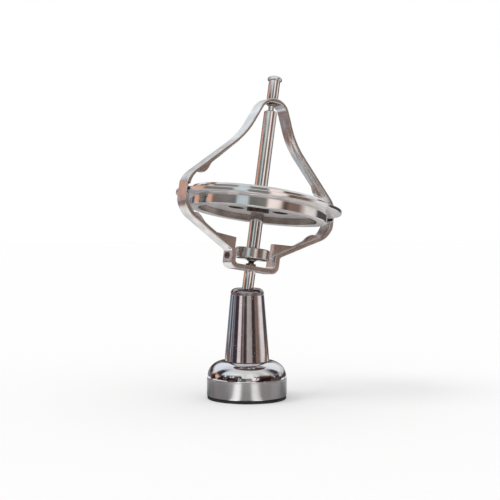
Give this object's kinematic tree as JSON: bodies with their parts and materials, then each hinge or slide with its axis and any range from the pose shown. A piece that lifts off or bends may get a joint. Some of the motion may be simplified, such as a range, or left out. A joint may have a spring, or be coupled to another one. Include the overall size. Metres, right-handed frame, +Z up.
{
  "type": "gyroscope on stand",
  "caption": "Precision gyroscope with a flanged rotor in a pear-shaped loop frame, leaning on its ball end in the seat of a turned stand.",
  "frame": {"origin": "centre of the foot's underside, where the stand rests", "axes": "+Z up; the plane of the gyroscope's frame stands along X; the gyroscope leans towards +X and a little towards +Y"},
  "size_m": [0.0692, 0.0672, 0.1302],
  "materials": {
    "foot_rubber": "matt, fine-grained",
    "stand_satin": "satin turned",
    "stand_chrome": "mirror polish",
    "seat_steel": "polished, hardened",
    "frame_steel": "satin with rounded edges",
    "post_chrome": "mirror polish",
    "bush_steel": "dark turned",
    "ball_steel": "mirror polish",
    "stud_steel": "turned",
    "rotor_steel": "fine circular turning",
    "shaft_chrome": "mirror polish",
    "wheel_steel": "fine circular turning",
    "collar_dark": "blackened",
    "screw_black": "blackened",
    "washer_steel": "plain"
  },
  "bodies": {
    "stand": {"foot_pad": "foot_rubber", "base_body": "stand_satin", "column": "stand_chrome", "column_screw": "screw_black", "screw_washer": "washer_steel"},
    "seat": {"seat_insert": "seat_steel"},
    "gyro": {"gyro_frame": "frame_steel", "bottom_post": "post_chrome", "top_post": "post_chrome", "top_cap": "post_chrome", "upper_bush": "bush_steel", "lower_bush": "bush_steel", "upper_thrust_ball": "ball_steel", "lower_thrust_ball": "ball_steel", "side_studs": "stud_steel"},
    "rotor": {"rotor_rim": "rotor_steel", "rotor_web": "rotor_steel", "rotor_hub": "rotor_steel", "shaft": "shaft_chrome", "starter_wheel": "wheel_steel", "lower_collar": "collar_dark"}
  },
  "joints": [
    {"name": "precession", "type": "hinge", "parent": "stand", "child": "seat", "pos_m": [0, 0, 0.0425], "axis": [0, 0, 1], "continuous": true},
    {"name": "tilt", "type": "hinge", "parent": "seat", "child": "gyro", "pos_m": [0, 0, 0.0425], "axis": [-0.2334, 0.9724, 0], "range_deg": [-19.4, 0]},
    {"name": "rotor_spin", "type": "hinge", "parent": "gyro", "child": "rotor", "pos_m": [0, 0, 0.0425], "axis": [0.1638, 0.0393, 0.9857], "continuous": true}
  ]
}
